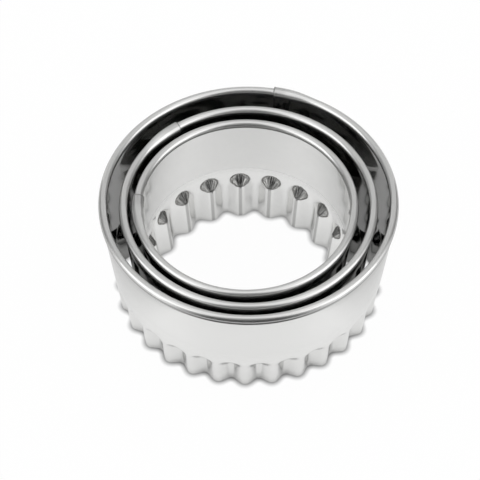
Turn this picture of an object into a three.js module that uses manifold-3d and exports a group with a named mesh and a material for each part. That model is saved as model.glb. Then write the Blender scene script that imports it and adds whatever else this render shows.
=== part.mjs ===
// A nest of three round fluted cutters for ravioli and pastry. Each cutter is one strip of bright steel,
// bent into a ring, lapped and spot-welded at its seam, with a rolled rim on top and a fluted cutting
// edge below. Pressing the flutes draws the foot in, so every cutter tapers and lifts out upwards.
import * as THREE from 'three';
import Module from 'manifold-3d';
import { mergeVertices } from 'three/addons/utils/BufferGeometryUtils.js';

const { abs, sign, cos, sin, hypot, sqrt, atan2, min, max, PI } = Math;

// Driving dimensions of the strip and its forms, in millimetres and degrees
const HEIGHT = 35;
const SHEET = 0.35;
const RIM_THICKNESS = 2.3;
const RIM_PROUD = 0.4;
const RIM_FREE_EDGE = -40;
const NECK_BEND = 1.0;
const FOOT_DRAW_IN = 4.05;
const FLUTE_DEPTH = 1.95;
const LAP_GAP = 0.1;
const WELD_DIAMETER = 1.8;
const WELD_HEIGHTS = [17, 22.5, 28];

// Share of half a flute's pitch that its blunt ridge takes, and the share left plain as the crest
const RIDGE_SHARE = 1 / 6;
const CREST_SHARE = 1 / 6;

// The three sizes: diameter over the rim and place in the nest; number of flutes, height of their ridges,
// direction of one ridge, direction of the visible seam edge, and which way round the lapping end comes
const CUTTERS = [
  {
    name: 'large_cutter', rim: 80, x: 0, y: 0,
    flutes: 30, ridgeTop: 8, ridge: -1.5, seam: 79.5, turn: 1,
  },
  {
    name: 'medium_cutter', rim: 69, x: 0, y: -1.6,
    flutes: 24, ridgeTop: 9.2, ridge: 91.25, seam: 125, turn: -1,
  },
  {
    name: 'small_cutter', rim: 60, x: -0.7, y: -1.9,
    flutes: 19, ridgeTop: 10.5, ridge: 93.4, seam: 173.9, turn: -1,
  },
];

// Steps along the strip: the fluted edge has six to a flute, the plain rim a third as many. The lap is
// half a flute wide, and the strip eases on to its own end over one flute before it.
const FLUTE_STEPS = 6;
const RIM_EVERY = 3;
const LAP_STEPS = 3;
const LAP_EASE_STEPS = 6;

// Steps round the section: the bend of the neck and the roll of the rim
const NECK_STEPS = 2;
const RIM_STEPS = 7;
const WELD_SIDES = 10;

const MERGE_DISTANCE = 1e-4;

const rad = THREE.MathUtils.degToRad;
const lerp = THREE.MathUtils.lerp;

// Section of the strip, shared by all sizes apart from the radius of the rim's tube centre. It is drawn
// in axes along the leaning wall: x outwards across it, y up along it, from the tube's centre.
const TUBE = (RIM_THICKNESS - SHEET) / 2;
const TUBE_HEIGHT = HEIGHT - RIM_THICKNESS / 2;
const WALL_ACROSS = RIM_THICKNESS / 2 - RIM_PROUD - SHEET / 2;
const WALL_RUN = FOOT_DRAW_IN - RIM_PROUD;
const LEAN = atan2(WALL_RUN, TUBE_HEIGHT);
const NECK_DOWN = sqrt((2 * NECK_BEND + TUBE - WALL_ACROSS) * (TUBE + WALL_ACROSS));
const NECK_SWEEP = atan2(NECK_DOWN, NECK_BEND - WALL_ACROSS);
const LAYER = SHEET + LAP_GAP;

// A point of the section, from the wall's axes to distance from the ring's axis and height
function sectionPoint(tubeRadius, x, y) {
  return {
    out: tubeRadius + x * cos(LEAN) + y * sin(LEAN),
    up: TUBE_HEIGHT - x * sin(LEAN) + y * cos(LEAN),
  };
}

// The bend below the rim, which turns the wall inwards; side is the offset towards the ring's inside
function neckPoint(tubeRadius, share, side) {
  const angle = NECK_SWEEP * share;
  const bend = NECK_BEND - side;
  return sectionPoint(
    tubeRadius,
    WALL_ACROSS - NECK_BEND + bend * cos(angle),
    -NECK_DOWN + bend * sin(angle),
  );
}

// The roll itself: up the inside, over the top and down the outside to its free edge
function rimPoint(tubeRadius, share, side) {
  const angle = lerp(NECK_SWEEP + PI, rad(RIM_FREE_EDGE), share);
  const roll = TUBE + side;
  return sectionPoint(tubeRadius, roll * cos(angle), roll * sin(angle));
}

// Depth of a flute at a share of the way from its ridge to the next crest: blunt ridge, straight flank, crest
function fold(share) {
  const flank = 1 - RIDGE_SHARE - CREST_SHARE;
  return THREE.MathUtils.clamp((1 - CREST_SHARE - share) / flank, 0, 1);
}

// The leaning wall with its flutes. A flute is a fold pressed inwards: a straight ridge from the foot
// up, ended by a half cone, so its depth falls off with the distance from the ridge.
function wallPoint(cutter, height, across, side) {
  const foot = cutter.rim / 2 - FOOT_DRAW_IN - SHEET / 2;
  const plain = foot + (WALL_RUN * height) / TUBE_HEIGHT;
  const fromRidge = hypot(across, max(0, height - cutter.ridgeTop));
  const depth = FLUTE_DEPTH * fold(fromRidge / cutter.halfPitch);
  return { out: plain - side / cos(LEAN) - depth, up: height };
}

// Stations along the strip, from the end tucked under the lap, once round, to the end that laps over it.
// lapped goes from 0 to 1 where the strip eases inwards to lie on its own other end.
function stations(cutter, every) {
  const pitch = 360 / cutter.flutes;
  const turnSteps = cutter.flutes * FLUTE_STEPS;
  const lastStep = turnSteps + LAP_STEPS;
  const found = [];
  for (let step = 0; step <= lastStep; step += every) {
    const angle = cutter.seam + (cutter.turn * (step - lastStep) * pitch) / FLUTE_STEPS;
    const fromRidge = THREE.MathUtils.euclideanModulo(angle - cutter.ridge + pitch / 2, pitch) - pitch / 2;
    const eased = (step - turnSteps + LAP_EASE_STEPS) / LAP_EASE_STEPS;
    found.push({
      angle: rad(angle),
      across: (abs(fromRidge) / pitch) * 2 * cutter.halfPitch,
      lapped: min(1, max(0, eased)),
    });
  }
  return found;
}

// One row of points along the strip, on its outer face (-1) or on its inner face (1)
function row(cutter, face, every, place) {
  return stations(cutter, every).map(({ angle, across, lapped }) => {
    const side = (face * SHEET) / 2 + lapped * LAYER;
    const { out, up } = place(across, side);
    return new THREE.Vector3(out * cos(angle), out * sin(angle), up);
  });
}

// All rows of one face from the foot up to the free edge of the roll
function faceRows(cutter, face) {
  const tubeRadius = (cutter.rim - RIM_THICKNESS) / 2;
  const arch = (1 - CREST_SHARE) * cutter.halfPitch;
  const heights = [0, cutter.ridgeTop, cutter.ridgeTop + arch / 2, cutter.ridgeTop + arch];
  const rows = heights.map((height) =>
    row(cutter, face, 1, (across, side) => wallPoint(cutter, height, across, side)));
  for (let i = 0; i < NECK_STEPS; i += 1) {
    rows.push(row(cutter, face, RIM_EVERY, (_, side) => neckPoint(tubeRadius, i / NECK_STEPS, side)));
  }
  for (let i = 0; i <= RIM_STEPS; i += 1) {
    rows.push(row(cutter, face, RIM_EVERY, (_, side) => rimPoint(tubeRadius, i / RIM_STEPS, side)));
  }
  return rows;
}

// Triangles between two neighbouring rows, which may have different numbers of steps: the row whose next
// step has its middle nearer the start goes on first, and in a tie the lower row does
function stitch(lower, upper) {
  const faces = [];
  const lowerSteps = lower.length - 1;
  const upperSteps = upper.length - 1;
  let i = 0;
  let j = 0;
  while (i < lowerSteps || j < upperSteps) {
    if ((i + 0.4) / lowerSteps < (j + 0.5) / upperSteps) {
      faces.push([lower[i], lower[i + 1], upper[j]]);
      i += 1;
    } else {
      faces.push([lower[i], upper[j + 1], upper[j]]);
      j += 1;
    }
  }
  return faces;
}

// The cut end of the strip, filled across its section
function endCap(section, forward) {
  const outline = section.map((p) => new THREE.Vector2(hypot(p.x, p.y), p.z));
  const turn = sign(THREE.ShapeUtils.area(outline)) * (forward ? 1 : -1);
  return THREE.ShapeUtils.triangulateShape(outline, []).map((corners) => {
    const faceTurn = sign(THREE.ShapeUtils.area(corners.map((i) => outline[i])));
    const ordered = faceTurn === turn ? corners : [...corners].reverse();
    return ordered.map((i) => section[i]);
  });
}

// The bent strip as one closed skin: outer face up, free edge, inner face down, foot edge, two cut ends
function stripGeometry(cutter) {
  const rows = [...faceRows(cutter, -1), ...faceRows(cutter, 1).reverse()];
  const faces = rows.flatMap((lower, i) => stitch(lower, rows[(i + 1) % rows.length]));
  faces.push(...endCap(rows.map((r) => r[0]), true));
  faces.push(...endCap(rows.map((r) => r[r.length - 1]), false));
  const points = faces.flatMap((face) => (cutter.turn > 0 ? face : [...face].reverse()));
  return new THREE.BufferGeometry().setFromPoints(points);
}

// A spot weld is the metal fused across the lap, half-way into both layers
function weldGeometry(cutter, height) {
  const pitch = 360 / cutter.flutes;
  const lapMiddle = rad(cutter.seam - (cutter.turn * LAP_STEPS * pitch) / FLUTE_STEPS / 2);
  const { out } = wallPoint(cutter, height, cutter.halfPitch, LAYER / 2);
  const flatShare = cos(rad((RIM_EVERY * pitch) / FLUTE_STEPS / 2));
  const middle = out * lerp(flatShare, 1, 0.5);
  return new THREE.CylinderGeometry(WELD_DIAMETER / 2, WELD_DIAMETER / 2, LAYER, WELD_SIDES)
    .rotateZ(PI / 2)
    .rotateY(LEAN)
    .translate(middle, 0, height)
    .rotateZ(lapMiddle);
}

const wasm = await Module();
wasm.setup();

function toSolid(geometry) {
  const bare = new THREE.BufferGeometry().setAttribute('position', geometry.getAttribute('position'));
  if (geometry.index) bare.setIndex(geometry.index);
  const merged = mergeVertices(bare, MERGE_DISTANCE);
  return new wasm.Manifold(new wasm.Mesh({
    numProp: 3,
    vertProperties: new Float32Array(merged.getAttribute('position').array),
    triVerts: new Uint32Array(merged.index.array),
  }));
}

function toGeometry(solid) {
  const { vertProperties, triVerts } = solid.getMesh();
  const geometry = new THREE.BufferGeometry();
  geometry.setAttribute('position', new THREE.BufferAttribute(vertProperties, 3));
  geometry.setIndex(new THREE.BufferAttribute(triVerts, 1));
  geometry.computeVertexNormals();
  return geometry;
}

function makeCutter(size) {
  const halfPitch = (PI * (size.rim / 2 - FOOT_DRAW_IN)) / size.flutes;
  const cutter = { ...size, halfPitch };
  const strip = toSolid(stripGeometry(cutter));
  const ring = WELD_HEIGHTS.reduce((body, height) => body.add(toSolid(weldGeometry(cutter, height))), strip);
  const steel = new THREE.MeshStandardMaterial({ color: 0xd9d9d6, roughness: 0.12, metalness: 1 });
  const mesh = new THREE.Mesh(toGeometry(ring), steel);
  mesh.name = cutter.name;
  mesh.position.set(cutter.x, cutter.y, 0);
  return mesh;
}

const nest = new THREE.Group();
nest.add(...CUTTERS.map(makeCutter));

export default nest;
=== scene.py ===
# %% [markdown]
# A nest of fluted ravioli cutters
#
# The object is three rings of bright sheet steel that stand inside each other on their cutting edges. The
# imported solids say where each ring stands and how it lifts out. This lesson makes the rings again with a
# finer surface, because polished steel shows every facet, and then gives them their finish, a floor, a lit
# studio and a camera.

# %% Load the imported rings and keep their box
import math
import random

import bmesh
import bpy
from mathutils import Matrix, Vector


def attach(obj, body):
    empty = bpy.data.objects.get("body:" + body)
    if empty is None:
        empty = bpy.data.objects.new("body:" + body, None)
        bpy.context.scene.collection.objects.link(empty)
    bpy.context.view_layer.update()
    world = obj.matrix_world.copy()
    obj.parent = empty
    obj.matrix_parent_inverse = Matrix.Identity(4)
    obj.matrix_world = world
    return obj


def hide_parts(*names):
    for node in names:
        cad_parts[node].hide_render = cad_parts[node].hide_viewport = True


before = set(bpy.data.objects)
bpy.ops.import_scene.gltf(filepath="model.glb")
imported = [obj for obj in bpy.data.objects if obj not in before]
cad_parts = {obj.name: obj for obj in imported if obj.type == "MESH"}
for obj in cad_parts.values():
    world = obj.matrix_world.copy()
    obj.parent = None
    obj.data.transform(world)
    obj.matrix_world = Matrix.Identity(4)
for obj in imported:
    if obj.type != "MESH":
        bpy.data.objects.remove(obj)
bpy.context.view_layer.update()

print("packed nodes:", sorted(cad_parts))

# %% [markdown]
# The strip and its forms
#
# Each ring starts as a flat strip of sheet. Its lower edge is pressed into flutes, its upper edge is
# rolled into a rim, and its two ends are lapped and spot-welded. All three sizes share the same section,
# so the few sizes here drive the whole nest. They are written in millimetres, as a workshop drawing would
# have them, and MM turns them into Blender's metres.
#
# In the list of cutters, ridge is the direction of one ridge and seam that of the seam's visible edge,
# both in degrees. turn says which way round the lapping end comes, and flute_steps is the number of mesh
# columns to a flute. The faces that hands reach, outside the nest and inside its smallest ring, are hazy
# from wear. The faces between two rings get painted shade, a darker colour, marked by gap_shade.

# %% Driving sizes
MM = 0.001

HEIGHT = 35 * MM
SHEET = 0.35 * MM
RIM_THICKNESS = 2.3 * MM
RIM_PROUD = 0.4 * MM
RIM_FREE_EDGE = math.radians(-40)
NECK_BEND = 1.0 * MM
FOOT_DRAW_IN = 4.05 * MM
FLUTE_DEPTH = 1.95 * MM
RIDGE_SHARE = 1 / 6
CREST_SHARE = 1 / 6
LAP_GAP = 0.1 * MM
LAP_LAYER = SHEET + LAP_GAP
WELD_HEIGHTS = [17 * MM, 22.5 * MM, 28 * MM]

LARGE_OUTER_HAZE = 0.42
SMALL_INNER_HAZE = 0.8

# gap_shade says which faces, those between two rings, get painted shade.
CUTTERS = [
    dict(
        node="large_cutter", rim=80 * MM, x=0, y=0,
        flutes=30, flute_steps=24, ridge_top=8 * MM, ridge=-1.5, seam=79.5, turn=1,
        hazed=dict(outer=LARGE_OUTER_HAZE, inner=0), gap_shade=dict(outer=0, inner=1),
    ),
    dict(
        node="medium_cutter", rim=69 * MM, x=0, y=-1.6 * MM,
        flutes=24, flute_steps=30, ridge_top=9.2 * MM, ridge=91.25, seam=125, turn=-1,
        hazed=dict(outer=0, inner=0), gap_shade=dict(outer=1, inner=1),
    ),
    dict(
        node="small_cutter", rim=60 * MM, x=-0.7 * MM, y=-1.9 * MM,
        flutes=19, flute_steps=37, ridge_top=10.5 * MM, ridge=93.4, seam=173.9, turn=-1,
        hazed=dict(outer=0, inner=SMALL_INNER_HAZE), gap_shade=dict(outer=1, inner=0),
    ),
]
for cutter in CUTTERS:
    cutter["half_pitch"] = math.pi * (cutter["rim"] / 2 - FOOT_DRAW_IN) / cutter["flutes"]
    cutter["nose"] = (1 - CREST_SHARE) * cutter["half_pitch"]

# %% [markdown]
# The section of the strip
#
# Cut across, a ring shows a wall that leans outwards, a short neck that bends in, and a roll that goes up
# the inside, over the top and down the outside to a free edge. Arcs give this shape with two radii, so the
# section needs no drawn outline. A point is found on the strip's middle and then moved sideways by an
# offset, which gives the two faces of the sheet and also the place of the lapped end.

# %% Section of the wall, the neck and the rolled rim
TUBE = (RIM_THICKNESS - SHEET) / 2
TUBE_HEIGHT = HEIGHT - RIM_THICKNESS / 2
WALL_ACROSS = RIM_THICKNESS / 2 - RIM_PROUD - SHEET / 2
WALL_RUN = FOOT_DRAW_IN - RIM_PROUD
LEAN = math.atan2(WALL_RUN, TUBE_HEIGHT)
NECK_DOWN = math.sqrt((2 * NECK_BEND + TUBE - WALL_ACROSS) * (TUBE + WALL_ACROSS))
NECK_SWEEP = math.atan2(NECK_DOWN, NECK_BEND - WALL_ACROSS)
RIM_SWEEP = NECK_SWEEP + math.pi - RIM_FREE_EDGE


def section_point(cutter, x, y):
    """From axes along the leaning wall, centred in the roll, to distance from the ring's axis and height."""
    tube_radius = (cutter["rim"] - RIM_THICKNESS) / 2
    out = tube_radius + x * math.cos(LEAN) + y * math.sin(LEAN)
    up = TUBE_HEIGHT - x * math.sin(LEAN) + y * math.cos(LEAN)
    return out, up


def neck_point(cutter, share, inwards):
    angle = NECK_SWEEP * share
    bend = NECK_BEND - inwards
    x = WALL_ACROSS - NECK_BEND + bend * math.cos(angle)
    return section_point(cutter, x, -NECK_DOWN + bend * math.sin(angle))


def rim_point(cutter, share, inwards):
    angle = NECK_SWEEP + math.pi - RIM_SWEEP * share
    roll = TUBE + inwards
    return section_point(cutter, roll * math.cos(angle), roll * math.sin(angle))


print("wall leans", round(math.degrees(LEAN), 2), "degrees")

# %% [markdown]
# The flutes
#
# A flute is a fold pressed inwards. It has a blunt ridge, two straight flanks and, at its top, a half cone
# that runs out into the plain wall. The depth depends only on the distance from the ridge, so one short
# formula makes the fold, its round arch and its nose. A rounded clamp gives the bends the radius that
# sheet metal keeps: small along the ridges, larger round the arch, where the die only pulls the metal.

# %% Depth of the flutes
RIDGE_ROUNDING = 0.16
CREST_ROUNDING = 0.16
ARCH_ROUNDING = 0.35


def lerp(a, b, share):
    return a + (b - a) * share


def smooth_step(low, high, value):
    """0 below low, 1 above high, and a smooth rise between them."""
    share = min(1, max(0, (value - low) / (high - low)))
    return share * share * (3 - 2 * share)


def rounded_clamp(value, low_rounding, high_rounding):
    """Value held between 0 and 1, with a parabola in place of each corner."""
    over = max(high_rounding - abs(1 - value), 0) / high_rounding
    value = min(1, value) - over * over * high_rounding / 4
    under = max(low_rounding - abs(value), 0) / low_rounding
    return max(0, value) + under * under * low_rounding / 4


def flute_depth(cutter, across, up):
    rise = up - cutter["ridge_top"]
    from_ridge = math.hypot(across, max(0, rise)) / cutter["half_pitch"]
    fold = (1 - CREST_SHARE - from_ridge) / (1 - RIDGE_SHARE - CREST_SHARE)
    softer = smooth_step(-cutter["half_pitch"] / 2, cutter["half_pitch"] / 2, rise)
    return FLUTE_DEPTH * rounded_clamp(fold, lerp(CREST_ROUNDING, ARCH_ROUNDING, softer), RIDGE_ROUNDING)


for cutter in CUTTERS:
    depths = [flute_depth(cutter, cutter["half_pitch"] * i / 2, 0) for i in range(3)]
    print(cutter["node"], "depth from ridge to crest in mm:", [round(depth / MM, 2) for depth in depths])

# %% [markdown]
# Pleats on the noses
#
# Where a flute ends, the pressed metal has nowhere to go and gathers into fine pleats that fan out from
# the end of the ridge. They show as dark streaks, the most striking mark on these cutters. A bump map
# could draw them, but real pleats also turn the reflections, so they are in the mesh: a wave round the
# nose, with a different phase and strength on every flute, drawn from a seeded generator so that each run
# is the same.

# %% Pleats that fan out from the end of each ridge
PLEATS_PER_TURN = 32
BROAD_PLEATS_PER_TURN = 0.55 * PLEATS_PER_TURN
FINE_PLEAT_SHARE = 0.7
PLEAT_DEPTH = 0.07 * MM
PLEAT_SEED = 7
LEAST_STRENGTH = 0.75
MOST_STRENGTH = 1.2
FAN_HALF_WIDTH = 0.35
FAN_WIDEST = 0.68
FAN_TOP = 1.02
FAN_TAPER = 0.7
FAN_EDGE_START = 0.85
FAN_EDGE_END = 1.1

pleat_draws = random.Random(PLEAT_SEED)
for cutter in CUTTERS:
    cutter["pleats"] = [
        (pleat_draws.uniform(0, 2 * math.pi), pleat_draws.uniform(LEAST_STRENGTH, MOST_STRENGTH))
        for _ in range(cutter["flutes"])
    ]


def fan_width(rise):
    """Half width of the teardrop of pleats at a rise above the ridge's end, both in shares of the nose."""
    if rise <= FAN_WIDEST:
        return FAN_HALF_WIDTH * (max(0, rise) / FAN_WIDEST) ** FAN_TAPER
    over = (rise - FAN_WIDEST) / (FAN_TOP - FAN_WIDEST)
    return FAN_HALF_WIDTH * math.sqrt(max(0, 1 - over * over))


def nose_share(cutter, across, up):
    """How much a point belongs to the pleated nose: 1 inside the teardrop, 0 off it."""
    width = fan_width((up - cutter["ridge_top"]) / cutter["nose"])
    if width == 0:
        return 0
    return 1 - smooth_step(FAN_EDGE_START, FAN_EDGE_END, abs(across) / cutter["nose"] / width)


def pleat_wave(cutter, flute, across, up):
    """Wave of the pleats, from about -1 in the furrows to 1 on the folds."""
    phase, strength = cutter["pleats"][flute]
    angle = math.atan2(across, up - cutter["ridge_top"])
    fine = math.cos(PLEATS_PER_TURN * angle + phase)
    broad = math.cos(BROAD_PLEATS_PER_TURN * angle - phase)
    return strength * lerp(broad, fine, FINE_PLEAT_SHARE)


def pleat(cutter, flute, across, up):
    """Shift of the sheet inwards by the pleats, which grow with the distance from the end of the ridge."""
    share = nose_share(cutter, across, up)
    if share == 0:
        return 0
    grown = min(1, math.hypot(across, up - cutter["ridge_top"]) / (FAN_WIDEST * cutter["nose"]))
    return PLEAT_DEPTH * share * grown * pleat_wave(cutter, flute, across, up)


print("pleats on", sum(len(cutter["pleats"]) for cutter in CUTTERS), "noses")

# %% [markdown]
# The seam
#
# The strip's two ends lap by half a flute, and spot welds hold them. Each weld leaves a shallow dimple on
# both layers. The roll can't be welded, so the lapping end is only pinched over the rim below it, which
# crumples its inner side. Both marks are small shifts across the sheet, so they join the offset that the
# section's formulas already take.

# %% Weld dimples and crumples
LAP_PITCHES = 0.5
EASE_PITCHES = 1.0
WELD_RADIUS = 1.0 * MM
WELD_DIMPLE = 0.05 * MM
CRUMPLE_DEPTH = 0.07 * MM
CRUMPLE_WAVE = 0.9 * MM
CRUMPLE_START = 0.5 * MM
CRUMPLE_END = 4.2 * MM
CRUMPLE_SLANT = 9
CRUMPLE_FADE_START = 0.2
CRUMPLE_FADE_END = 0.45


def weld_share(back, up):
    """1 in the middle of a spot weld and 0 beside it; back is the distance from the lap's middle line."""
    nearest = min(math.hypot(back, up - height) for height in WELD_HEIGHTS)
    return 1 - smooth_step(0, WELD_RADIUS, nearest)


def crumple_share(from_end):
    """1 on the pinched stretch of the roll, 0 at the strip's very end and beyond the stretch."""
    return smooth_step(0, CRUMPLE_START, from_end) * (1 - smooth_step(CRUMPLE_END / 2, CRUMPLE_END, from_end))


def crumple(from_end, rim_share):
    """Shift of the roll by its crumples, which slant round it and fade towards its top."""
    wave = math.cos(2 * math.pi * from_end / CRUMPLE_WAVE + CRUMPLE_SLANT * rim_share)
    inside = 1 - smooth_step(CRUMPLE_FADE_START, CRUMPLE_FADE_END, rim_share)
    return CRUMPLE_DEPTH * crumple_share(from_end) * inside * wave


print("spot welds at", [round(height / MM, 1) for height in WELD_HEIGHTS], "mm")

# %% [markdown]
# From a flat grid to a ring: the rows
#
# A real cutter is bent from a flat strip, and the mesh is made the same way: one flat grid, whose columns
# go along the strip and whose rows go up its section. Every vertex is then carried to its place by the
# formulas above. An even grid would need many more faces, so rows are close together only where the
# section bends or a weld sits.

# %% Rows of the strip, from the foot to the free edge of the roll
FLUTE_ROWS = 4
CUT_LINE = 0.35 * MM
NOSE_ROWS = 16
NOSE_ROWS_BELOW = 0.25
NOSE_ROWS_ABOVE = 1.1
NECK_ROWS = 4
RIM_ROWS = 20
WELD_ROWS = [-0.9, -0.45, 0, 0.45, 0.9]


def wall_heights(cutter):
    start = cutter["ridge_top"] - NOSE_ROWS_BELOW * cutter["half_pitch"]
    end = cutter["ridge_top"] + NOSE_ROWS_ABOVE * cutter["half_pitch"]
    flutes = [0] + [lerp(CUT_LINE, start, i / FLUTE_ROWS) for i in range(FLUTE_ROWS)]
    noses = [lerp(start, end, i / NOSE_ROWS) for i in range(NOSE_ROWS + 1)]
    welds = [height + row * WELD_RADIUS for height in WELD_HEIGHTS for row in WELD_ROWS]
    return flutes + noses + [up for up in welds if up > end + WELD_RADIUS / 4]


def section_rows(cutter):
    """The rows as pairs: the part of the section, and the height or share of the way round that part."""
    rows = [("wall", up) for up in wall_heights(cutter)]
    rows += [("neck", i / NECK_ROWS) for i in range(NECK_ROWS)]
    return rows + [("rim", i / RIM_ROWS) for i in range(RIM_ROWS + 1)]


def way_up(part, at):
    """Distance up the sheet from the foot, measured along the section."""
    if part == "wall":
        return at
    neck_start = TUBE_HEIGHT - NECK_DOWN
    if part == "neck":
        return neck_start + NECK_BEND * NECK_SWEEP * at
    return neck_start + NECK_BEND * NECK_SWEEP + TUBE * RIM_SWEEP * at


print("rows:", [len(section_rows(cutter)) for cutter in CUTTERS])

# %% [markdown]
# The columns
#
# Columns go from the tucked end of the strip, once round, to the end that laps over it. Pleats are finer
# than anything else on the strip, so columns crowd together at the ridges, by the equation that also
# places planets on their orbits. Turning it round has no formula, but going round it a few times finds the
# answer.

# %% Columns of the strip, from the tucked end once round to the lapping end
CROWDING = 0.62
CROWDING_ROUNDS = 40


def crowd(phase):
    """Moves a phase, counted in flutes, towards the nearest ridge."""
    return phase - CROWDING * math.sin(2 * math.pi * phase) / (2 * math.pi)


def uncrowd(phase):
    """The phase that crowd moves to the given one, found by going round the equation."""
    found = phase
    for _ in range(CROWDING_ROUNDS):
        found = phase + CROWDING * math.sin(2 * math.pi * found) / (2 * math.pi)
    return found


def column(cutter, share):
    """Where a column is: its direction, its distance from the nearest ridge, and its place on the strip."""
    pitch = 360 / cutter["flutes"]
    length = cutter["flutes"] + LAP_PITCHES
    last = (cutter["seam"] - cutter["ridge"]) / pitch
    first = last - cutter["turn"] * length
    phase = crowd(lerp(uncrowd(first), uncrowd(last), share))
    along = abs(phase - first)
    arc = 2 * cutter["half_pitch"]
    return dict(
        angle=math.radians(cutter["ridge"] + phase * pitch),
        across=(phase - round(phase)) * arc,
        flute=round(phase) % cutter["flutes"],
        lapped=smooth_step(cutter["flutes"] - EASE_PITCHES, cutter["flutes"], along),
        from_start=along * arc,
        from_end=(length - along) * arc,
    )


def strip_columns(cutter):
    steps = round((cutter["flutes"] + LAP_PITCHES) * cutter["flute_steps"])
    return [column(cutter, i / steps) for i in range(steps + 1)]


print("columns:", [len(strip_columns(cutter)) for cutter in CUTTERS])

# %% [markdown]
# The place of a vertex
#
# A vertex needs only its column, its part of the section and how far it is up that part. The formulas give
# its distance from the ring's axis and its height, on the outer face of the sheet. Near the lapping end
# the strip eases inwards by one layer, so that it lies on its own other end.

# %% Place of a vertex
def strip_point(cutter, col, part, at):
    """Distance from the ring's axis and height of a point on the strip's outer face."""
    inwards = col["lapped"] * LAP_LAYER - SHEET / 2
    if part == "rim":
        return rim_point(cutter, at, inwards + crumple(col["from_end"], at))
    if part == "neck":
        return neck_point(cutter, at, inwards + at * crumple(col["from_end"], 0))
    lap_middle = LAP_PITCHES * cutter["half_pitch"]
    inwards -= WELD_DIMPLE * weld_share(col["from_end"] - lap_middle, at)
    inwards += WELD_DIMPLE * weld_share(col["from_start"] - lap_middle, at)
    foot = cutter["rim"] / 2 - FOOT_DRAW_IN - SHEET / 2
    plain = foot + WALL_RUN * at / TUBE_HEIGHT
    return plain - inwards / math.cos(LEAN) - flute_depth(cutter, col["across"], at), at


for cutter in CUTTERS:
    out, up = strip_point(cutter, column(cutter, 0), "rim", 0.5)
    print(cutter["node"], "half-way round its roll:", round(out / MM, 2), round(up / MM, 2), "mm")

# %% [markdown]
# Scuffs and painted shade
#
# Tools leave the bright sheet dull, and the die scuffs the ridges. Shade is painted into the sheet's colour
# as well: over the pleated noses and darkest in the furrows of their pleats, in a line round the top of each
# flute, in a line along the foot, and in the bend under the roll, inside the roll and beneath its free edge.
# A painted mask could hold all this, but the formulas already know where each form is, so they give every
# vertex its dullness and painted shade too, and the material reads it as an attribute.

# %% Painted shade on the outer face
# Painted shade in the crevice under the roll, inside the hollow of the roll and beneath its free edge.
CREVICE_SHADE = 0.9
CREVICE_FADE_START = 0.1
CREVICE_FADE_END = 0.6
# Painted shade: a dark line along the foot of the outer face, where it meets the floor.
FOOT_LINE_SHADE = 0.5
# Painted shade: a dark line round the top of each flute, where the arch overhangs its groove.
ARCH_LINE_SHADE = 0.4
ARCH_LINE_WIDTH = 0.55 * MM
ARCH_LINE_FADE = math.radians(75)


def outer_painted_shade(cutter, col, part, at):
    """Painted shade of the outer face: darkness in the crevice under the roll and inside the roll, a dark
    line along the foot, and a dark line round the top of each flute."""
    # Painted shade in the crevice under the roll and inside the hollow of the roll.
    if part == "neck":
        return CREVICE_SHADE * smooth_step(CREVICE_FADE_START, CREVICE_FADE_END, at)
    if part == "rim":
        return CREVICE_SHADE
    rise = at - cutter["ridge_top"]
    # Painted shade along the foot.
    if rise <= 0:
        return FOOT_LINE_SHADE * (1 - smooth_step(0, CUT_LINE, at))
    # Painted shade round the top of each flute.
    off_line = math.hypot(col["across"], rise) - cutter["nose"]
    fade = 1 - smooth_step(ARCH_LINE_FADE / 2, ARCH_LINE_FADE, abs(math.atan2(col["across"], rise)))
    return ARCH_LINE_SHADE * fade * (1 - smooth_step(0, ARCH_LINE_WIDTH, abs(off_line)))


# Crevices, cut edges and die lines here are all painted shade.
print("outer face: crevices", CREVICE_SHADE, "cut edges", FOOT_LINE_SHADE, "die lines", ARCH_LINE_SHADE)

# %% Dullness and painted shade on the inner face
RIDGE_DULL = 0.6 * MM
RIDGE_FADE = 1 / 3
RIDGE_SCUFF = 0.4
# Painted shade over the pleated noses, darkest in the furrows of the pleats.
FAN_LEAST_SHADE = 0.2
FURROW_POWER = 0.7
WELD_SCUFF = 0.5
CRUMPLE_SCUFF = 0.15
END_SCUFF = 0.9
END_LINE = 0.5 * MM
# Painted shade in the neck between the inner wall and the roll.
NECK_SHADE = 0.95
NECK_FULL = 0.5
NECK_FADE_START = 0.22
NECK_FADE_END = 0.34
UNDERSIDE_START = 0.77
UNDERSIDE_FULL = 0.93


def wall_dullness_and_shade(cutter, col, at):
    """Dullness and painted shade of the inner wall, up to 1: scuffed ridges and welds, and painted shade over
    the pleated noses, darkest in their furrows.
    """
    ridge = 1 - smooth_step(RIDGE_DULL / 2, RIDGE_DULL, abs(col["across"]))
    ridge *= 1 - smooth_step(0, RIDGE_FADE * cutter["half_pitch"], at - cutter["ridge_top"])
    lap_middle = LAP_PITCHES * cutter["half_pitch"]
    weld = weld_share(min(col["from_end"], col["from_start"]) - lap_middle, at)
    # Painted shade over the nose, darkest in the furrows of the pleats.
    furrow = max(0, (1 - pleat_wave(cutter, col["flute"], col["across"], at)) / 2) ** FURROW_POWER
    fan_shade = nose_share(cutter, col["across"], at) * lerp(FAN_LEAST_SHADE, 1, furrow)
    return max(RIDGE_SCUFF * ridge, fan_shade, WELD_SCUFF * weld)


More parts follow.
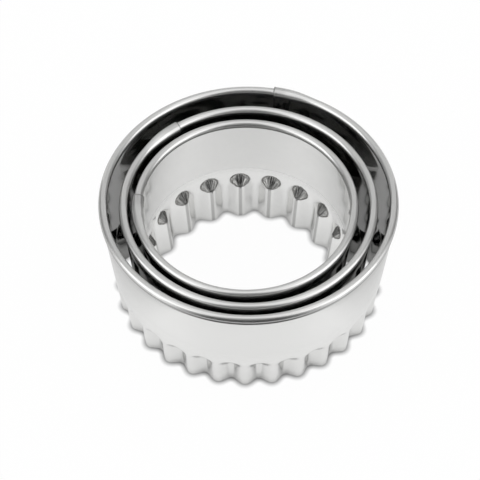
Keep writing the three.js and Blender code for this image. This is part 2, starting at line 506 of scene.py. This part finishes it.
def inner_dullness_and_shade(cutter, col, part, at):
    """Dullness and painted shade of the inner face, which goes on over the roll: the lapping end, painted
    shade in the neck and on the underside of the roll, its crumples, and the marks on the wall."""
    end = END_SCUFF * (1 - smooth_step(0, END_LINE, col["from_end"]))
    if part == "wall":
        return max(end, wall_dullness_and_shade(cutter, col, at))
    # Painted shade in the neck.
    if part == "neck":
        return max(end, NECK_SHADE * smooth_step(0, NECK_FULL, at))
    # Painted shade where the roll leaves the neck, and on its underside by its free edge.
    neck = NECK_SHADE * (1 - smooth_step(NECK_FADE_START, NECK_FADE_END, at))
    under = CREVICE_SHADE * smooth_step(UNDERSIDE_START, UNDERSIDE_FULL, at)
    return max(end, neck, under, CRUMPLE_SCUFF * crumple_share(col["from_end"]))


print("inner face: neck", NECK_SHADE, "lapping ends", END_SCUFF, "ridges", RIDGE_SCUFF)

# %% [markdown]
# Haze and painted gap shade
#
# Wear makes the plain walls hazy. The die has burnished the flutes, so they have less haze, and the roll
# has a satin haze of its own. Faces between two rings get painted shade, a darker colour, which lies on the
# wall and thins out over the neck. Both are attributes again.

# %% Haze and painted gap shade up the section
FLUTE_HAZE = 0.25
RIM_HAZE = 0.9


def wall_share(part, at):
    """1 on the wall, fading to 0 over the neck and the roll."""
    if part == "wall":
        return 1
    return 1 - at if part == "neck" else 0


def worn_share(cutter, part, at):
    """Share of the wall's haze: full on the plain wall, less on the flutes."""
    arch_top = cutter["ridge_top"] + cutter["nose"]
    above = smooth_step(arch_top, arch_top + cutter["nose"], way_up(part, at))
    return wall_share(part, at) * lerp(FLUTE_HAZE, 1, above)


print("haze on the flutes", FLUTE_HAZE, "and on the roll", RIM_HAZE)

# %% [markdown]
# Bending the strips
#
# A flat grid becomes the strip's outer face, and solidify gives it the thickness of the sheet. The pleats
# come after that: they are narrower than the sheet is thick, so a thickness built on top of them would
# fold over itself, while the same small shift on both faces keeps the sheet whole. A fine bevel then
# rounds the burr off the cut edges.

# %% Bend a flat grid into the outer face of a strip
def bend_strip(cutter):
    rows = section_rows(cutter)
    columns = strip_columns(cutter)
    last_row, last_column = len(rows) - 1, len(columns) - 1
    strip = bmesh.new()
    bmesh.ops.create_grid(strip, x_segments=last_column, y_segments=last_row, size=1)
    on_strip = strip.verts.layers.float_vector.new("on_strip")
    dull_and_shade = strip.verts.layers.float.new("dull_and_shade")
    outer_shade = strip.verts.layers.float.new("outer_shade")
    haze = strip.verts.layers.float.new("haze")
    gap_shade = strip.verts.layers.float.new("gap_shade")
    pleated = strip.verts.layers.float_vector.new("pleated")
    for vert in strip.verts:
        col = columns[round((vert.co.x + 1) / 2 * last_column)]
        part, at = rows[round((vert.co.y + 1) / 2 * last_row)]
        x, y = math.cos(col["angle"]), math.sin(col["angle"])
        out, up = strip_point(cutter, col, part, at)
        vert[on_strip] = (col["from_start"], way_up(part, at), 0)
        # Dullness and painted shade: the inner face's in dull_and_shade, the outer face's painted shade in
        # outer_shade.
        vert[dull_and_shade] = inner_dullness_and_shade(cutter, col, part, at)
        vert[outer_shade] = outer_painted_shade(cutter, col, part, at)
        vert[haze] = worn_share(cutter, part, at)
        # gap_shade holds the wall's share here; thicken turns it into the painted gap shade.
        vert[gap_shade] = wall_share(part, at)
        if part == "wall":
            shift = pleat(cutter, col["flute"], col["across"], at)
            vert[pleated] = (-shift * x, -shift * y, 0)
        vert.co = (cutter["x"] + out * x, cutter["y"] + out * y, up)
    if cutter["turn"] < 0:
        bmesh.ops.reverse_faces(strip, faces=strip.faces[:])
    strip.normal_update()
    return strip


print("strips to bend:", len(CUTTERS))

# %% Thickness, pleats and rounded edges
CUT_EDGE_ROUND = 0.06 * MM
SHARP_CORNER = math.radians(50)


def thicken(strip, cutter):
    """Gives the strip its thickness and its pleats, and rounds the burr off its cut edges."""
    dull_and_shade = strip.verts.layers.float["dull_and_shade"]
    outer_shade = strip.verts.layers.float["outer_shade"]
    haze = strip.verts.layers.float["haze"]
    gap_shade = strip.verts.layers.float["gap_shade"]
    pleated = strip.verts.layers.float_vector["pleated"]
    outer_face = set(strip.verts)
    bmesh.ops.solidify(strip, geom=strip.faces[:], thickness=SHEET)
    for vert in strip.verts:
        face = "outer" if vert in outer_face else "inner"
        # The outer face takes its painted shade in place of the inner face's dullness.
        if face == "outer":
            vert[dull_and_shade] = vert[outer_shade]
        on_wall = vert[gap_shade]
        vert[haze] = vert[haze] * cutter["hazed"][face] + RIM_HAZE * (1 - on_wall)
        # Painted shade on faces between two rings.
        vert[gap_shade] = on_wall * cutter["gap_shade"][face]
        vert.co += vert[pleated]
    strip.normal_update()
    corners = [e for e in strip.edges if len(e.link_faces) == 2 and e.calc_face_angle() > SHARP_CORNER]
    bmesh.ops.bevel(strip, geom=corners, offset=CUT_EDGE_ROUND, segments=2, profile=0.5,
                    affect="EDGES", material=-1)


rings = {}
for cutter in CUTTERS:
    strip = bend_strip(cutter)
    thicken(strip, cutter)
    mesh = bpy.data.meshes.new(cutter["node"] + "_ring")
    strip.to_mesh(mesh)
    volume = strip.calc_volume(signed=True)
    strip.free()
    mesh.shade_smooth()
    ring = bpy.data.objects.new(cutter["node"] + "_ring", mesh)
    bpy.context.scene.collection.objects.link(ring)
    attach(ring, cutter["node"])
    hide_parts(cutter["node"])
    rings[cutter["node"]] = ring
    triangles = sum(len(face.vertices) - 2 for face in mesh.polygons)
    print(ring.name, triangles, "triangles,", round(volume / MM**3), "cubic mm of steel")

# %% [markdown]
# Helpers for materials
#
# Steel, floor and cards are all made of nodes, and the same few steps come back in each: a socket gets a
# constant or a link, two colours or two shaders are mixed, an attribute of the mesh is read. Short helpers
# keep the recipes that follow readable.

# %% Helpers that add nodes
MIX_SHARE, MIX_FIRST, MIX_SECOND, MIX_RESULT = 0, 6, 7, 2


def feed(tree, value, socket):
    """Gives a socket a constant, or a link from another socket."""
    if isinstance(value, bpy.types.NodeSocket):
        tree.links.new(value, socket)
    else:
        socket.default_value = value


def math_node(tree, operation, *values):
    """A Math node, whose inputs are sockets or numbers; returns its result."""
    node = tree.nodes.new("ShaderNodeMath")
    node.operation = operation
    for socket, value in zip(node.inputs, values):
        feed(tree, value, socket)
    return node.outputs[0]


def attribute(tree, name, output="Fac"):
    node = tree.nodes.new("ShaderNodeAttribute")
    node.attribute_name = name
    return node.outputs[output]


def mix_colours(tree, share, first, second):
    """A Mix node set to colours, which has its colour sockets after those for numbers and vectors."""
    node = tree.nodes.new("ShaderNodeMix")
    node.data_type = "RGBA"
    feed(tree, share, node.inputs[MIX_SHARE])
    feed(tree, first, node.inputs[MIX_FIRST])
    feed(tree, second, node.inputs[MIX_SECOND])
    return node.outputs[MIX_RESULT]


def mixed_material(name):
    """A material that mixes two shaders, and the Mix Shader node that still has to be fed."""
    material = bpy.data.materials.new(name)
    material.use_nodes = True
    tree = material.node_tree
    tree.nodes.clear()
    mix = tree.nodes.new("ShaderNodeMixShader")
    output = tree.nodes.new("ShaderNodeOutputMaterial")
    tree.links.new(mix.outputs[0], output.inputs["Surface"])
    return material, mix


def feed_mix(tree, mix, share, first, second):
    for socket, value in zip(mix.inputs, (share, first.outputs[0], second.outputs[0])):
        feed(tree, value, socket)


print("helpers ready")

# %% [markdown]
# Bright steel
#
# The sheet is bright-rolled steel. Most of its look is a clean mirror of the room, but the rolls leave
# fine lines along the strip, which smear part of every reflection straight up and down. One shader has one
# width of reflection, so two are mixed: a mirror, and a haze that is wide across the rolling lines. The
# attributes of the mesh say how hazy the sheet is, where it is scuffed, and where shade is painted into its
# colour: in creases and recesses, and on faces between two rings. Smudges make the haze uneven. Long,
# faint rolling lines and a slight waviness of the sheet are bumps that follow the strip, by its own
# attribute.

# %% Patterns on the sheet
SMUDGE_SIZE = 14 * MM
SMUDGE_DETAIL = 4
WAVE_SIZE = 16 * MM
WAVE_DETAIL = 2
WAVE_HEIGHT = 0.004 * MM
LINE_LENGTH = 40 * MM
LINE_WIDTH = 0.6 * MM
LINE_DETAIL = 1
LINE_HEIGHT = 0.0004 * MM


def strip_noise(tree, length, width, detail):
    """Noise on the sheet, with spots of one length along the strip and one width across it."""
    scale = tree.nodes.new("ShaderNodeMapping")
    scale.inputs["Scale"].default_value = (1 / length, 1 / width, 1)
    noise = tree.nodes.new("ShaderNodeTexNoise")
    noise.inputs["Scale"].default_value = 1
    noise.inputs["Detail"].default_value = detail
    tree.links.new(attribute(tree, "on_strip", "Vector"), scale.inputs["Vector"])
    tree.links.new(scale.outputs["Vector"], noise.inputs["Vector"])
    return noise.outputs["Fac"]


def bump(tree, height, distance, under=None):
    """Bumps of a pattern, on top of other bumps if there are any."""
    node = tree.nodes.new("ShaderNodeBump")
    node.inputs["Distance"].default_value = distance
    tree.links.new(height, node.inputs["Height"])
    if under is not None:
        tree.links.new(under, node.inputs["Normal"])
    return node.outputs["Normal"]


steel, steel_mix = mixed_material("bright_steel")
tree = steel.node_tree
waves = bump(tree, strip_noise(tree, WAVE_SIZE, WAVE_SIZE, WAVE_DETAIL), WAVE_HEIGHT)
lines = bump(tree, strip_noise(tree, LINE_LENGTH, LINE_WIDTH, LINE_DETAIL), LINE_HEIGHT, waves)
print("rolling lines", LINE_WIDTH / MM, "mm apart")

# %% Mirror and haze of the rolled sheet
STEEL_COLOUR = (0.84, 0.84, 0.83, 1)
# Painted shade for faces between two rings.
GAP_SHADE_COLOUR = (0.72, 0.72, 0.71, 1)
# Near black for scuffs and for painted shade.
SCUFF_AND_SHADE_COLOUR = (0.04, 0.04, 0.038, 1)
MIRROR_ROUGHNESS = 0.05
HAZE_ROUGHNESS = 0.46
HAZE_STRETCH = 0.9
ACROSS_THE_LINES = 0.25


def steel_shader(tree, colour, normal, roughness):
    shader = tree.nodes.new("ShaderNodeBsdfPrincipled")
    shader.inputs["Metallic"].default_value = 1
    shader.inputs["Roughness"].default_value = roughness
    tree.links.new(colour, shader.inputs["Base Color"])
    tree.links.new(normal, shader.inputs["Normal"])
    return shader


scuffs_and_shade = attribute(tree, "dull_and_shade")
# Painted shade: faces between two rings mix towards a darker colour.
sheet_colour = mix_colours(tree, attribute(tree, "gap_shade"), STEEL_COLOUR, GAP_SHADE_COLOUR)
# Scuffs and painted shade mix the sheet towards near black.
colour = mix_colours(tree, scuffs_and_shade, sheet_colour, SCUFF_AND_SHADE_COLOUR)
mirror = steel_shader(tree, colour, lines, MIRROR_ROUGHNESS)
haze = steel_shader(tree, colour, lines, HAZE_ROUGHNESS)
haze.inputs["Anisotropic"].default_value = HAZE_STRETCH
haze.inputs["Anisotropic Rotation"].default_value = ACROSS_THE_LINES
round_the_ring = tree.nodes.new("ShaderNodeTangent")
round_the_ring.direction_type = "RADIAL"
round_the_ring.axis = "Z"
tree.links.new(round_the_ring.outputs["Tangent"], haze.inputs["Tangent"])
print("roughness of mirror and haze:", MIRROR_ROUGHNESS, HAZE_ROUGHNESS)

# %% How much haze, and steel on the rings
HAZE_SHARE = 0.42
BRIGHT_HAZE = 0.02
SCUFF_AND_SHADE_HAZE = 0.1
SMUDGE_SHARE = 0.14

smudges = math_node(tree, "MULTIPLY_ADD", strip_noise(tree, SMUDGE_SIZE, SMUDGE_SIZE, SMUDGE_DETAIL),
                    SMUDGE_SHARE, HAZE_SHARE - SMUDGE_SHARE / 2)
worn = math_node(tree, "MULTIPLY", smudges, attribute(tree, "haze"))
hazy = math_node(tree, "MAXIMUM", worn, BRIGHT_HAZE)
hazy = math_node(tree, "ADD", hazy, math_node(tree, "MULTIPLY", scuffs_and_shade, SCUFF_AND_SHADE_HAZE))
feed_mix(tree, steel_mix, hazy, mirror, haze)
for ring in rings.values():
    ring.data.materials.append(steel)
print("steel on", len(rings), "rings")

# %% [markdown]
# The floor
#
# The nest stands on a white sweep. Plain white paper would turn grey round and inside the rings, because
# steel walls keep light off it, while the photograph exposes it to pure white right up to a narrow shadow
# at the cutting edges. So camera and mirror rays see the paper mixed with plain white of strength 1, and
# an ambient occlusion node with a short reach takes that white away close to the steel. Mirrored in the
# steel, the floor darkens over a longer reach and falls off to the left and right of the nest. Rays that
# have already bounced to and fro between two rings see only the paper, which keeps the gaps dark.

# %% Paper with a contact shadow and darker sides
PAPER_COLOUR = (0.9, 0.9, 0.9, 1)
NO_COLOUR = (0, 0, 0, 1)
SHADOW_REACH = 1.6 * MM
SHADOW_DEPTH = 1.6
SHADOW_SAMPLES = 16
MIRROR_SHADOW_DEPTH = 0.5
SIDE_START = 33 * MM
SIDE_END = 50 * MM
SIDE_LIGHT = 0.66


def open_sky(tree, reach, depth):
    """1 on open floor, less close to the rings."""
    cover = tree.nodes.new("ShaderNodeAmbientOcclusion")
    cover.samples = SHADOW_SAMPLES
    cover.inputs["Distance"].default_value = reach
    return math_node(tree, "POWER", cover.outputs["AO"], depth)


def light_at_sides(tree):
    """1 in the middle of the floor, less far to the left and right."""
    place = tree.nodes.new("ShaderNodeTexCoord")
    axes = tree.nodes.new("ShaderNodeSeparateXYZ")
    tree.links.new(place.outputs["Object"], axes.inputs[0])
    fall_off = tree.nodes.new("ShaderNodeMapRange")
    fall_off.interpolation_type = "SMOOTHSTEP"
    fall_off.inputs["From Min"].default_value = SIDE_START
    fall_off.inputs["From Max"].default_value = SIDE_END
    fall_off.inputs["To Min"].default_value = 1
    fall_off.inputs["To Max"].default_value = SIDE_LIGHT
    tree.links.new(math_node(tree, "ABSOLUTE", axes.outputs["X"]), fall_off.inputs["Value"])
    return fall_off.outputs[0]


paper, paper_mix = mixed_material("white_sweep")
tree = paper.node_tree
rays = tree.nodes.new("ShaderNodeLightPath").outputs
depth = math_node(tree, "MULTIPLY_ADD", rays["Is Camera Ray"],
                  SHADOW_DEPTH - MIRROR_SHADOW_DEPTH, MIRROR_SHADOW_DEPTH)
side_light = math_node(tree, "MAXIMUM", light_at_sides(tree), rays["Is Camera Ray"])
contact = math_node(tree, "MULTIPLY", open_sky(tree, SHADOW_REACH, depth), side_light)
matt = tree.nodes.new("ShaderNodeBsdfDiffuse")
tree.links.new(mix_colours(tree, contact, NO_COLOUR, PAPER_COLOUR), matt.inputs["Color"])
white = tree.nodes.new("ShaderNodeEmission")
tree.links.new(contact, white.inputs["Strength"])
print("contact shadow reaches", SHADOW_REACH / MM, "mm")

# %% Which rays see plain white, and the floor itself
FLOOR_SIZE = 6.0
MIRROR_SHADOW_REACH = 12 * MM
CAMERA_WHITE = 0.97
MIRROR_WHITE = 0.79
LAST_WHITE_BOUNCE = 2.5


def link_stage_mesh(name, bm, material):
    """Makes an object of a bmesh, for the floor and the cards, which aren't part of the nest."""
    mesh = bpy.data.meshes.new(name)
    bm.to_mesh(mesh)
    bm.free()
    mesh.materials.append(material)
    piece = bpy.data.objects.new(name, mesh)
    bpy.context.scene.collection.objects.link(piece)
    return piece


mirrored = math_node(tree, "MAXIMUM", rays["Is Glossy Ray"], rays["Is Transmission Ray"])
to_mirror = math_node(tree, "MULTIPLY", open_sky(tree, MIRROR_SHADOW_REACH, 1), MIRROR_WHITE)
to_camera = math_node(tree, "MULTIPLY", rays["Is Camera Ray"], CAMERA_WHITE)
seen = math_node(tree, "MAXIMUM", to_camera, math_node(tree, "MULTIPLY", mirrored, to_mirror))
early = math_node(tree, "LESS_THAN", rays["Ray Depth"], LAST_WHITE_BOUNCE)
feed_mix(tree, paper_mix, math_node(tree, "MULTIPLY", seen, early), matt, white)

floor_bm = bmesh.new()
bmesh.ops.create_grid(floor_bm, x_segments=1, y_segments=1, size=FLOOR_SIZE / 2)
link_stage_mesh("floor", floor_bm, paper)
print("floor of", FLOOR_SIZE, "m")

# %% [markdown]
# Felt cards
#
# Polished steel has no look of its own: it shows the room. The rims tell what stood round the nest: white
# overhead, darkness low in front, and greyer patches at the two rear corners and behind. Felt cards give
# that darkness. Each is a patch of a sphere round the nest, given by its directions, and what would go
# below the floor lies on it. Hard-edged cards would show as black boxes in the walls, so a card gets
# lighter towards its sides and its top. Cards aren't part of the nest and are hidden from the camera, so no
# view shows them.

# %% Felt cards in front, at the rear corners and behind
CENTRE = Vector((0, 0, 34 * MM))
CARD_DISTANCE = 0.5
CARD_STEPS = 32
CARD_LIFT = 1 * MM
SOFT_EDGE_START = 0.4
SOFT_EDGE_GREY = 0.95


def towards(azimuth, elevation):
    """Unit vector in a direction given in degrees: azimuth from the front to the right, and elevation."""
    a, e = math.radians(azimuth), math.radians(elevation)
    return Vector((math.sin(a) * math.cos(e), -math.cos(a) * math.cos(e), math.sin(e)))


def felt_material(name):
    """Matt felt, whose grey is an attribute of the card."""
    felt = bpy.data.materials.new(name)
    felt.use_nodes = True
    tree = felt.node_tree
    shader = tree.nodes["Principled BSDF"]
    shader.inputs["Roughness"].default_value = 1
    shader.inputs["Specular IOR Level"].default_value = 0
    tree.links.new(attribute(tree, "shade", "Color"), shader.inputs["Base Color"])
    return felt


def card(name, azimuth, half_widths, elevations, greys, kept=0):
    """A card of felt with soft sides. Its half width and its grey go from the first value along the lower
    edge to the second along the upper edge; kept is the share of its height that stays at the first grey."""
    bm = bmesh.new()
    bmesh.ops.create_grid(bm, x_segments=CARD_STEPS, y_segments=CARD_STEPS, size=1)
    shade = bm.verts.layers.float.new("shade")
    for vert in bm.verts:
        side, up = vert.co.x, (vert.co.y + 1) / 2
        grey = lerp(*greys, max(0, (up - kept) / (1 - kept)))
        vert[shade] = lerp(grey, SOFT_EDGE_GREY, smooth_step(SOFT_EDGE_START, 1, abs(side)))
        half_width = lerp(*half_widths, smooth_step(kept / 2, 1, up))
        way = towards(azimuth + side * half_width, lerp(*elevations, up))
        reach = CARD_DISTANCE
        if way.z < 0:
            reach = min(reach, (CENTRE.z - CARD_LIFT) / -way.z)
        vert.co = CENTRE + way * reach
    piece = link_stage_mesh(name, bm, felt_material(name))
    piece.visible_camera = False
    piece.visible_shadow = False
    piece.visible_diffuse = False
    return piece


cards = [
    card("front_card", azimuth=0, half_widths=(56, 20), elevations=(-21, 75), greys=(0.02, 0.8),
         kept=0.43),
    card("left_card", azimuth=-119, half_widths=(26, 26), elevations=(0, 70), greys=(0.1, 0.9)),
    card("right_card", azimuth=121, half_widths=(24, 24), elevations=(0, 70), greys=(0.1, 0.9)),
    card("rear_card", azimuth=180, half_widths=(46, 46), elevations=(0, 65), greys=(0.5, 0.98)),
]
print("cards:", [piece.name for piece in cards])

# %% [markdown]
# Light
#
# The world is plain white, which the steel mirrors at full strength, while the floor gets a little less of
# it. Two weak soft boxes at the front left and right brighten the rims where they bend towards them. An
# image of a real studio would do the same, but a white world and two lamps can be tuned by a few numbers.

# %% World and soft boxes
WORLD_WHITE = (1, 1, 1, 1)
WORLD_LIGHT = 0.9
SOFT_BOX_AZIMUTH = 66
SOFT_BOX_ELEVATION = 30
SOFT_BOX_DISTANCE = 0.9
SOFT_BOX_SIDE = 0.8
SOFT_BOX_RADIANCE = 0.45


def soft_box(name, azimuth):
    lamp = bpy.data.lights.new(name, "AREA")
    lamp.shape = "SQUARE"
    lamp.size = SOFT_BOX_SIDE
    lamp.energy = SOFT_BOX_RADIANCE * math.pi * SOFT_BOX_SIDE**2
    box = bpy.data.objects.new(name, lamp)
    way = towards(azimuth, SOFT_BOX_ELEVATION)
    box.location = CENTRE + way * SOFT_BOX_DISTANCE
    box.rotation_euler = way.to_track_quat("Z", "Y").to_euler()
    box.visible_camera = False
    bpy.context.scene.collection.objects.link(box)


soft_box("left_soft_box", -SOFT_BOX_AZIMUTH)
soft_box("right_soft_box", SOFT_BOX_AZIMUTH)

world = bpy.data.worlds.new("studio")
bpy.context.scene.world = world
world.use_nodes = True
tree = world.node_tree
sky = tree.nodes["Background"]
sky.inputs["Color"].default_value = WORLD_WHITE
rays = tree.nodes.new("ShaderNodeLightPath").outputs
shown = math_node(tree, "MAXIMUM", rays["Is Glossy Ray"], rays["Is Transmission Ray"])
shown = math_node(tree, "MAXIMUM", shown, rays["Is Camera Ray"])
tree.links.new(math_node(tree, "MAXIMUM", shown, WORLD_LIGHT), sky.inputs["Strength"])
print("white world and two soft boxes")

# %% [markdown]
# The camera
#
# The photograph was taken from in front and above, from far enough away that the rims are nearly plain
# ellipses. The camera's elevation and distance come from fitting the three rims, and its long lens fills
# the frame as the photograph does. The Standard view transform keeps white paper white.

# %% Camera
CAMERA_TARGET = Vector((-2.27 * MM, -13.1 * MM, 33.85 * MM))
CAMERA_ELEVATION = 52.46
CAMERA_DISTANCE = 657.75 * MM
CAMERA_LENS = 187.5
CAMERA_SENSOR = 36

camera_data = bpy.data.cameras.new("camera")
camera_data.sensor_width = CAMERA_SENSOR
camera_data.lens = CAMERA_LENS
camera = bpy.data.objects.new("camera", camera_data)
bpy.context.scene.collection.objects.link(camera)
back = towards(0, CAMERA_ELEVATION)
camera.location = CAMERA_TARGET + back * CAMERA_DISTANCE
camera.rotation_euler = (-back).to_track_quat("-Z", "Y").to_euler()
bpy.context.scene.camera = camera
bpy.context.scene.view_settings.view_transform = "Standard"
print("camera at", [round(place / MM) for place in camera.location], "mm")
